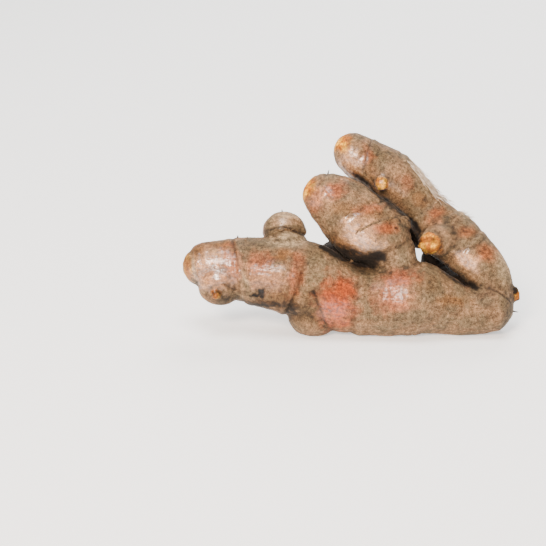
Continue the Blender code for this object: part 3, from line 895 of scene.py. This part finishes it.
class FrontView:
    """How the camera sees the points: where they are in the plane, and how far the skin there faces
    it, on the open skin and in a crook."""

    def __init__(self, points, normals):
        self.across, self.up = seen_from_front(points)
        self.facing = rise(normals @ FRONT, *FADE_TO_SIDE)
        self.in_crook = rise(normals @ FRONT, *FADE_IN_CROOK)


def paint(masks, finish, mask):
    """Adds a mask to its finish, which keeps the stronger of the two at each point."""
    masks[finish] = np.maximum(masks[finish], mask)


def paint_strokes(masks, view, places):
    """Paints the strokes, and returns how deep they are cut."""
    cuts = np.zeros(len(places.arm))
    for stroke in STROKES:
        seen = view.in_crook if stroke.finish == "soil_and_shade" else view.facing
        mask = stroke_mask(stroke, view.across, view.up) * seen * arm_mask(places, stroke.only)
        paint(masks, stroke.finish, mask * stroke.strength)
        cuts = np.maximum(cuts, mask * stroke.depth)
    return cuts


def paint_patches(masks, view, places, ragged):
    """Paints the patches, with torn rims."""
    for finish, rows in PATCHES.items():
        seen = view.in_crook if finish in ("soil_and_shade", "tip") else view.facing
        torn = TORN_SOIL_AND_SHADE if finish == "soil_and_shade" else TORN
        for row in rows:
            patch = Patch(*row)
            mask = patch_mask(patch, view.across, view.up, torn * ragged)
            paint(masks, finish, mask * seen * arm_mask(places, patch.only))


def paint_blotches(masks, points, view, ragged):
    """Paints blotches of the finishes where the skin turns from the camera."""
    for finish, kind, start, strength in BLOTCHES:
        blotch = rise(noise_at(points, *kind) + BLOTCH_TORN * ragged, start, start + BLOTCH_FADE)
        paint(masks, finish, strength * blotch * (1 - view.facing))


def young_mask(places, ragged):
    """1 on the yellow tips of the young buds."""
    young = np.zeros(len(ragged))
    for name, reach in YOUNG_TIPS.items():
        left = distances_along(LINES[name])[-1] - places.along
        own = arm_mask(places, (name,)) * rise(places.gap, 0.0, TIP_FADE)
        ripe = rise(left + YOUNG_TORN * ragged, reach * YOUNG_SHARE, reach)
        young = np.maximum(young, own * (1 - ripe))
    return young


def carve_skin(skin, settings):
    """Raises and cuts the skin's relief, and keeps the masks of its finishes on its points."""
    points = read_points(skin)
    normals = read_normals(skin)
    places = Places(points)
    view = FrontView(points, normals)
    grain = np.column_stack([places.along, places.offset @ UPPER, places.offset @ FRONT])
    grain[:, 0] += ARMS_APART * places.arm
    ragged = layered_noise(points, TATTERS)
    rings, groove, edge = ring_relief(points, places, layered_noise(points, WOBBLE))
    dots = root_dots(points)
    young = young_mask(places, ragged)

    masks = {finish: np.zeros(len(points)) for finish in FINISHES}
    cuts = paint_strokes(masks, view, places)
    paint_patches(masks, view, places, ragged)
    paint_blotches(masks, points, view, ragged)
    paint(masks, "tip", young)

    fine = sum(share * noise_at(grain * stretch, size) for share, stretch, size in DRAWN_OUT)
    fine += layered_noise(points, PEBBLES)
    # The relief is kept for the material, which darkens the wrinkles as painted shade and lightens the
    # ridges as painted light.
    write_attribute(skin, "relief", np.clip(0.5 + RELIEF_CONTRAST * fine, 0.0, 1.0))
    height = (rings + settings.wrinkles / MM * fine) * places.clear
    height += layered_noise(points, LUMPS) + layered_noise(points, DENTS)
    height += young * layered_noise(points, BUD_FOLDS) + DOT_HEIGHT * dots - cuts
    moved = points + normals * height[:, None]
    moved[:, 2] = np.maximum(moved[:, 2], 0.0)
    write_points(skin, moved)

    patchy = places.clear * (PATCHY[0] + PATCHY[1] * ragged)
    grooves = GROOVE_DARK * np.minimum(groove, DEEPEST_GROOVE) * patchy
    masks["scar"] += grooves + DOT_DARK * dots
    paint(masks, "pale", EDGE_PALE * edge * patchy)
    masks["soil_and_shade"] *= SOIL_AND_SHADE_TATTERS[0] + SOIL_AND_SHADE_TATTERS[1] * ragged
    # Painted shade in the crooks between the arms, in tatters.
    paint(masks, "soil_and_shade", CROOK_SHADE * (1 - places.clear) * rise(ragged, *CROOK_TATTERS))
    # Painted shade over the front of the arms deep in a crook.
    paint(masks, "soil_and_shade", arm_mask(places, DEEP_ARMS) * view.facing)
    for finish in ("scar", "soil_and_shade"):
        masks[finish] = np.clip(masks[finish], 0.0, 1.0)
    for finish, mask in masks.items():
        write_attribute(skin, finish, mask)
    write_attribute(skin, "grain", grain * MM)


def add_node(tree, kind, settings=None, inputs=None):
    """Adds a node, sets its properties, and sets or links its inputs."""
    node = tree.nodes.new(kind)
    for key, value in (settings or {}).items():
        setattr(node, key, value)
    for key, value in (inputs or {}).items():
        if isinstance(value, bpy.types.NodeSocket):
            tree.links.new(value, node.inputs[key])
        else:
            node.inputs[key].default_value = value
    return node


def new_material(name):
    """An empty material, its node tree, and its output node."""
    material = bpy.data.materials.new(name)
    material.use_nodes = True
    tree = material.node_tree
    tree.nodes.clear()
    return material, tree, add_node(tree, "ShaderNodeOutputMaterial")


def per_metre(size):
    """The Scale of a texture whose features have that size, in millimetres."""
    return 1.0 / (size * MM)


def corky_skin(settings):
    """Cork over waxy living skin, washed but not scrubbed: mostly matt and mottled like fine suede,
    with broken glints where the skin is tight, and flesh colour where it is thin. The colour also
    holds painted highlights on the wax and painted shade in the wrinkles, the crooks and under the arms."""
    material, tree, output = new_material("turmeric_skin")
    place = add_node(tree, "ShaderNodeTexCoord").outputs["Object"]
    grain = add_node(tree, "ShaderNodeAttribute", {"attribute_name": "grain"}).outputs["Vector"]
    attributes = {}
    for name in (*FINISHES, "relief"):
        attributes[name] = add_node(tree, "ShaderNodeAttribute", {"attribute_name": name}).outputs["Fac"]

    # Clouds of 6 mm and mottling of 1 mm, as the cork has grown and cracked, and a blush of 3 mm on
    # the young tips. The suede of the cork is 0.1 mm fine, drawn here at 0.35 mm so that it shows.
    noises = {}
    for name, size, detail, coarseness in (
            ("clouds", 6.0, 3.0, 0.55), ("mottle", 1.0, 3.0, 0.6),
            ("blush", 3.0, 2.0, 0.5), ("suede", 0.35, 2.0, 0.6)):
        noises[name] = add_node(tree, "ShaderNodeTexNoise", {}, {
            "Vector": place, "Scale": per_metre(size), "Detail": detail,
            "Roughness": coarseness}).outputs["Fac"]
    # Creases of 0.5 mm that run along each arm break the wax's glints into short strokes.
    drawn_out = add_node(tree, "ShaderNodeVectorMath", {"operation": "MULTIPLY"}, {
        0: grain, 1: (0.3, 1.0, 1.0)}).outputs["Vector"]
    noises["creases"] = add_node(tree, "ShaderNodeTexNoise", {}, {
        "Vector": drawn_out, "Scale": per_metre(0.5), "Detail": 3.0, "Roughness": 0.65}).outputs["Fac"]
    shares = {}
    for name, low, high in (("clouds", 0.38, 0.64), ("blush", 0.40, 0.62), ("creases", 0.36, 0.54)):
        shares[name] = add_node(tree, "ShaderNodeMapRange", {"interpolation_type": "SMOOTHSTEP"}, {
            "Value": noises[name], "From Min": low, "From Max": high}).outputs["Result"]

    colour = add_node(tree, "ShaderNodeMix", {"data_type": "RGBA"}, {
        0: shares["clouds"], 6: settings.cork, 7: settings.tan}).outputs[2]
    # The young tips run from yellow to orange brown in clouds of 3 mm.
    flesh = add_node(tree, "ShaderNodeMix", {"data_type": "RGBA"}, {
        0: shares["blush"], 6: linear("#a35a0a"), 7: linear("#d99a24")}).outputs[2]
    layers = (
        ("olive", linear("#4a3c24"), 0.75),
        # The pale pink tint of the wax is a painted highlight.
        ("wax_and_highlight", linear("#d29562"), 0.80),
        ("pale", linear("#ab916d"), 0.80),
        ("tip", flesh, 0.95),
        ("ochre", linear("#6b3d0c"), 0.75),
        ("flush", settings.flush, 0.90),
        ("scar", linear("#1c0f06"), 0.90),
        # Near black, for soil and for painted shade in the crooks and under the arms.
        ("soil_and_shade", linear("#080402"), 0.97),
    )
    for finish, tint, share in layers:
        amount = add_node(tree, "ShaderNodeMath", {"operation": "MULTIPLY"}, {
            0: attributes[finish], 1: share}).outputs["Value"]
        colour = add_node(tree, "ShaderNodeMix", {"data_type": "RGBA"}, {
            0: amount, 6: colour, 7: tint}).outputs[2]
    # The colour follows the fine relief: darker in the wrinkles as painted shade, and lighter on the
    # ridges as painted light. Mottling and suede then lighten and darken every layer.
    for source, low, high, dark, light, share in (
            (attributes["relief"], 0.2, 0.8, 0.78, 1.18, 1.0),
            (noises["mottle"], 0.34, 0.66, 0.5, 1.5, 0.9),
            (noises["suede"], 0.34, 0.66, 0.45, 1.55, 0.8)):
        shade = add_node(tree, "ShaderNodeMapRange", {}, {
            "Value": source, "From Min": low, "From Max": high,
            "To Min": dark, "To Max": light}).outputs["Result"]
        colour = add_node(tree, "ShaderNodeMix", {"data_type": "RGBA", "blend_type": "MULTIPLY"}, {
            0: share, 6: colour, 7: shade}).outputs[2]

    # The wax lies on the ridges between the creases.
    wax_and_highlight = attributes["wax_and_highlight"]
    glossy = add_node(tree, "ShaderNodeMath", {"operation": "MULTIPLY"}, {
        0: wax_and_highlight, 1: shares["creases"]}).outputs["Value"]
    crease_depth = add_node(tree, "ShaderNodeMapRange", {}, {
        "Value": wax_and_highlight, "To Min": 0.25, "To Max": 0.75}).outputs["Result"]
    roughness = add_node(tree, "ShaderNodeMapRange", {}, {
        "Value": wax_and_highlight, "To Min": 0.72, "To Max": 0.42}).outputs["Result"]
    bump = add_node(tree, "ShaderNodeBump", {}, {
        "Strength": 0.35, "Distance": 0.14 * MM, "Height": noises["mottle"]}).outputs["Normal"]
    bump = add_node(tree, "ShaderNodeBump", {}, {
        "Strength": 0.3, "Distance": 0.05 * MM, "Height": noises["suede"],
        "Normal": bump}).outputs["Normal"]
    bump = add_node(tree, "ShaderNodeBump", {}, {
        "Strength": crease_depth, "Distance": 0.16 * MM, "Height": noises["creases"],
        "Normal": bump}).outputs["Normal"]
    shader = add_node(tree, "ShaderNodeBsdfPrincipled", {}, {
        "Base Color": colour, "Roughness": roughness, "IOR": 1.45, "Specular IOR Level": 0.25,
        "Normal": bump, "Coat Weight": glossy, "Coat Roughness": 0.24, "Coat IOR": 2.3,
        "Coat Normal": bump, "Sheen Weight": 0.04, "Sheen Roughness": 0.5,
        "Sheen Tint": linear("#fff3e2")})
    tree.links.new(shader.outputs["BSDF"], output.inputs["Surface"])
    return material


def dry_fibre(name, light, dark, size, roughness):
    """Dead plant fibre, dried by the air: matt, brittle and streaked from light to dark."""
    material, tree, output = new_material(name)
    place = add_node(tree, "ShaderNodeTexCoord").outputs["Object"]
    streaks = add_node(tree, "ShaderNodeTexNoise", {}, {
        "Vector": place, "Scale": per_metre(size), "Detail": 4.0, "Roughness": 0.6}).outputs["Fac"]
    share = add_node(tree, "ShaderNodeMapRange", {}, {
        "Value": streaks, "From Min": 0.35, "From Max": 0.65}).outputs["Result"]
    colour = add_node(tree, "ShaderNodeMix", {"data_type": "RGBA"}, {
        0: share, 6: linear(dark), 7: linear(light)}).outputs[2]
    bump = add_node(tree, "ShaderNodeBump", {}, {
        "Strength": 0.5, "Distance": 0.1 * MM, "Height": streaks}).outputs["Normal"]
    shader = add_node(tree, "ShaderNodeBsdfPrincipled", {}, {
        "Base Color": colour, "Roughness": roughness, "Normal": bump})
    tree.links.new(shader.outputs["BSDF"], output.inputs["Surface"])
    return material


def matt_paper(colour):
    """Uncoated white card: even and matt, with a tooth too fine to see."""
    material, tree, output = new_material("matt_paper")
    place = add_node(tree, "ShaderNodeTexCoord").outputs["Object"]
    tooth = add_node(tree, "ShaderNodeTexNoise", {}, {
        "Vector": place, "Scale": per_metre(1.5), "Detail": 2.0}).outputs["Fac"]
    bump = add_node(tree, "ShaderNodeBump", {}, {
        "Strength": 0.05, "Distance": 0.1 * MM, "Height": tooth}).outputs["Normal"]
    shader = add_node(tree, "ShaderNodeBsdfPrincipled", {}, {
        "Base Color": colour, "Roughness": 0.9, "Normal": bump,
        "Emission Color": colour, "Emission Strength": 0.8})
    tree.links.new(shader.outputs["BSDF"], output.inputs["Surface"])
    return material


class TURMERIC_OT_skin(bpy.types.Operator):
    """Builds the rhizome's skin"""
    bl_idname = "turmeric.skin"
    bl_label = "Skin"

    def execute(self, context):
        settings = context.scene.turmeric_skin
        arms = [extruded_tube(name, line, ARM_SIDES) for name, line in LINES.items()]
        skin = join_pieces("rhizome_skin", arms)
        apply_modifier(skin, "REMESH", mode="VOXEL", voxel_size=settings.fineness)
        apply_modifier(skin, "SMOOTH", factor=SMOOTH_SHARE, iterations=SMOOTH_ROUNDS)
        carve_skin(skin, settings)
        skin.data.materials.clear()
        skin.data.materials.append(corky_skin(settings))
        skin.data.shade_smooth()
        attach(skin, "root")
        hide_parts("rhizome")
        return {"FINISHED"}


class SkinFinder:
    """Finds places on the built skin."""

    def __init__(self):
        skin = bpy.data.objects.get("rhizome_skin")
        if skin is None:
            raise RuntimeError("The skin must be built first")
        self.tree = BVHTree.FromPolygons(
            [vertex.co for vertex in skin.data.vertices], [face.vertices for face in skin.data.polygons])

    def towards(self, inside, way):
        """Where the way out from a point inside meets the skin, in millimetres, and the normal."""
        point, normal, _, _ = self.tree.ray_cast(Vector(inside) * MM, Vector(way))
        if point is None:
            raise RuntimeError("No skin in that direction")
        return np.array(point) / MM, np.array(normal)

    def round_arm(self, name, along, turn):
        """The skin at a distance along an arm and a turn round it, and the normal there."""
        line = LINES[name]
        distances = distances_along(line)
        middle = np.array([np.interp(along, distances, column) for column in line[:, :3].T])
        way = np.array([np.interp(along, distances, column) for column in ways_along(line).T])
        front = FRONT - (FRONT @ way) * way
        front /= np.linalg.norm(front)
        upper = np.cross(way, front)
        upper *= math.copysign(1.0, upper @ UPPER) / np.linalg.norm(upper)
        angle = math.radians(turn)
        return self.towards(middle, math.cos(angle) * front + math.sin(angle) * upper)


def scale_strip(finder, scale, thickness):
    """One dry strip: a grid wrapped round the arm, stuck at the scar and loose and torn beyond it."""
    start = along_at(scale.arm, scale.across, scale.up)
    line = LINES[scale.arm]
    girth = float(np.interp(start, distances_along(line), line[:, 3]))
    wrapped = girth * math.radians(scale.end - scale.start)
    columns = max(SCALE_COLUMNS_LEAST, round(wrapped / SCALE_STEP))
    start_piece()
    bpy.ops.mesh.primitive_grid_add(x_subdivisions=columns, y_subdivisions=SCALE_ROWS, size=1.0)
    strip = bpy.context.object
    middle, coarse, fine = SCALE_TEARS
    places = []
    for vertex in strip.data.vertices:
        round_share = vertex.co.x + 0.5
        out_share = vertex.co.y + 0.5
        turn = scale.start + (scale.end - scale.start) * round_share
        # The noise changes along the strip, and multiples of its seed give finer and coarser noise.
        seed = Vector((turn * 0.11, scale.across, scale.up))
        torn = middle + coarse * noise.noise(seed) + fine * noise.noise(seed * 3.1)
        inward = min(max(round_share, SCALE_ENDS), 1 - SCALE_ENDS)
        taper = math.sin(math.pi * inward) ** SCALE_TAPER
        reach = scale.width * max(torn, SCALE_SHORTEST) * taper * out_share
        wander = SCALE_WANDER * noise.noise(seed * 0.6)
        point, normal = finder.round_arm(scale.arm, start + wander + reach - SCALE_BEFORE, turn)
        curl = SCALE_CURL * max(noise.noise(seed * 1.7), 0.0)
        lift = (SCALE_LIFT + curl) * out_share - SCALE_SUNK
        places.append(point + normal * lift)
    write_points(strip, np.array(places))
    apply_modifier(strip, "SOLIDIFY", thickness=thickness, offset=0.0)
    return strip


def finish_trim(piece, material):
    """Gives a piece that lies on the skin its material, and ties it to the rhizome."""
    piece.data.materials.clear()
    piece.data.materials.append(material)
    piece.data.shade_smooth()
    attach(piece, "root")


class TURMERIC_OT_scale_remains(bpy.types.Operator):
    """Builds the dry remains of leaf sheaths along the scars"""
    bl_idname = "turmeric.scale_remains"
    bl_label = "Scale remains"

    def execute(self, context):
        finder = SkinFinder()
        thickness = context.scene.turmeric_trim.scale_thickness
        strips = join_pieces("scale_remains", [scale_strip(finder, scale, thickness) for scale in SCALES])
        bpy.ops.object.mode_set(mode="EDIT")
        face_outward()
        finish_trim(strips, dry_fibre("papery_scale", "#7d5f3c", "#2e1e10", 0.9, 0.8))
        return {"FINISHED"}


def hair_line(finder, tuft, girth, draw):
    """The line of one root hair: it starts on the skin and runs on close over it, towards the root."""
    first = along_at(tuft.arm, *tuft.first)
    last = along_at(tuft.arm, *tuft.last)
    along = draw.uniform(first, last)
    turn = draw.uniform(tuft.start, tuft.end)
    length = tuft.length * draw.uniform(*HAIR_LENGTHS)
    drift = draw.uniform(*HAIR_DRIFTS)
    loose = draw.uniform(*HAIR_LOOSENESS)
    points = []
    for share in np.linspace(0.0, 1.0, HAIR_POINTS):
        point, normal = finder.round_arm(tuft.arm, along - length * share, turn + drift * share ** 2)
        lift = HAIR_ARCH * math.sin(math.pi * share) + loose * share ** 2.5 - HAIR_SUNK
        points.append((*(point + normal * lift), girth * (1.0 - HAIR_THINNING * share)))
    return np.array(points)


class TURMERIC_OT_root_hairs(bpy.types.Operator):
    """Builds the pale root hairs on the second finger"""
    bl_idname = "turmeric.root_hairs"
    bl_label = "Root hairs"

    def execute(self, context):
        settings = context.scene.turmeric_trim
        finder = SkinFinder()
        draw = random.Random(HAIR_SEED)
        hairs = []
        for tuft in TUFTS:
            for _ in range(round(settings.hair_count * tuft.share)):
                line = hair_line(finder, tuft, settings.hair_girth / MM, draw)
                hairs.append(extruded_tube("root_hair", line, HAIR_SIDES))
        finish_trim(join_pieces("root_hairs", hairs),
                    dry_fibre("dried_root_hair", "#dccab4", "#a48c70", 1.5, 0.6))
        return {"FINISHED"}


class TURMERIC_OT_root_stumps(bpy.types.Operator):
    """Builds the stumps of withered roots"""
    bl_idname = "turmeric.root_stumps"
    bl_label = "Root stumps"

    def execute(self, context):
        finder = SkinFinder()
        stumps = []
        for stump in STUMPS:
            right, upper, back = stump.way
            way = right * RIGHT + upper * UPPER - back * FRONT
            foot, normal = finder.towards(from_plane(*stump.inside), way)
            bend = np.cross(normal, UPPER) * STUMP_BEND
            places = (
                foot - STUMP_SUNK * normal,
                foot + STUMP_NECK * normal,
                foot + stump.length * (0.5 * normal + 0.2 * bend),
                foot + stump.length * (normal + bend),
            )
            line = np.column_stack([places, STUMP_GIRTHS])
            stumps.append(extruded_tube("root_stump", line, STUMP_SIDES))
        finish_trim(join_pieces("root_stumps", stumps),
                    dry_fibre("withered_root", "#3a2818", "#120b06", 0.5, 0.75))
        return {"FINISHED"}


def soft_light(name, place, size, power, colour):
    """A square soft light at the place, turned to the rhizome."""
    bpy.ops.object.light_add(type="AREA", location=place)
    light = bpy.context.object
    light.name = name
    light.data.size = size
    light.data.energy = power
    light.data.color = linear(colour)[:3]
    light.rotation_euler = (Vector(LIGHT_AIM) - Vector(place)).to_track_quat("-Z", "Y").to_euler()


class TURMERIC_OT_stage(bpy.types.Operator):
    """Builds the floor, the lights and the camera"""
    bl_idname = "turmeric.stage"
    bl_label = "Studio"

    def execute(self, context):
        settings = context.scene.turmeric_studio
        start_piece()
        bpy.ops.mesh.primitive_plane_add(size=FLOOR_SIZE)
        floor = context.object
        floor.name = "floor"
        floor.data.materials.append(matt_paper(settings.floor))
        aim = Vector(from_plane(AIM_ACROSS, AIM_UP, 0.0)) * MM
        soft_light("key", (-0.3, -0.72, 0.58), 0.24, settings.key_power, "#ffeada")
        soft_light("fill", (-0.1, -0.15, 0.95), 0.5, settings.fill_power, "#ffffff")
        soft_light("back", (0.2, 0.8, 0.7), 0.6, settings.fill_power, "#ffffff")
        bpy.ops.object.camera_add(location=aim + Vector(FRONT) * settings.distance)
        camera = context.object
        camera.name = "camera"
        camera.rotation_euler = (-Vector(FRONT)).to_track_quat("-Z", "Y").to_euler()
        camera.data.lens = LENS
        camera.data.sensor_width = SENSOR_WIDTH
        camera.data.clip_start = CLIP_START
        context.scene.camera = camera
        world = bpy.data.worlds.new("studio")
        world.use_nodes = True
        surround = world.node_tree.nodes["Background"]
        surround.inputs["Color"].default_value = linear("#ffffff")
        surround.inputs["Strength"].default_value = SURROUND
        context.scene.world = world
        return {"FINISHED"}


class TURMERIC_PT_panel(bpy.types.Panel):
    """Lists the settings and the pieces"""
    bl_idname = "TURMERIC_PT_panel"
    bl_label = "Turmeric Rhizome"
    bl_space_type = "VIEW_3D"
    bl_region_type = "UI"
    bl_category = "Turmeric"

    def draw(self, context):
        scene = context.scene
        for settings, operators in (
                (scene.turmeric_skin, (TURMERIC_OT_skin,)),
                (scene.turmeric_trim, (
                    TURMERIC_OT_scale_remains, TURMERIC_OT_root_hairs, TURMERIC_OT_root_stumps)),
                (scene.turmeric_studio, (TURMERIC_OT_stage,))):
            box = self.layout.box()
            for name in settings.__annotations__:
                box.prop(settings, name)
            for operator in operators:
                box.operator(operator.bl_idname)


CLASSES = (
    TurmericSkinSettings,
    TurmericTrimSettings,
    TurmericStudioSettings,
    TURMERIC_OT_skin,
    TURMERIC_OT_scale_remains,
    TURMERIC_OT_root_hairs,
    TURMERIC_OT_root_stumps,
    TURMERIC_OT_stage,
    TURMERIC_PT_panel,
)


def register():
    for cls in CLASSES:
        bpy.utils.register_class(cls)
    bpy.types.Scene.turmeric_skin = PointerProperty(type=TurmericSkinSettings)
    bpy.types.Scene.turmeric_trim = PointerProperty(type=TurmericTrimSettings)
    bpy.types.Scene.turmeric_studio = PointerProperty(type=TurmericStudioSettings)


def unregister():
    del bpy.types.Scene.turmeric_studio
    del bpy.types.Scene.turmeric_trim
    del bpy.types.Scene.turmeric_skin
    for cls in reversed(CLASSES):
        bpy.utils.unregister_class(cls)


def main():
    register()
    bpy.ops.turmeric.skin()
    bpy.ops.turmeric.scale_remains()
    bpy.ops.turmeric.root_hairs()
    bpy.ops.turmeric.root_stumps()
    bpy.ops.turmeric.stage()


if __name__ == "__main__":
    main()
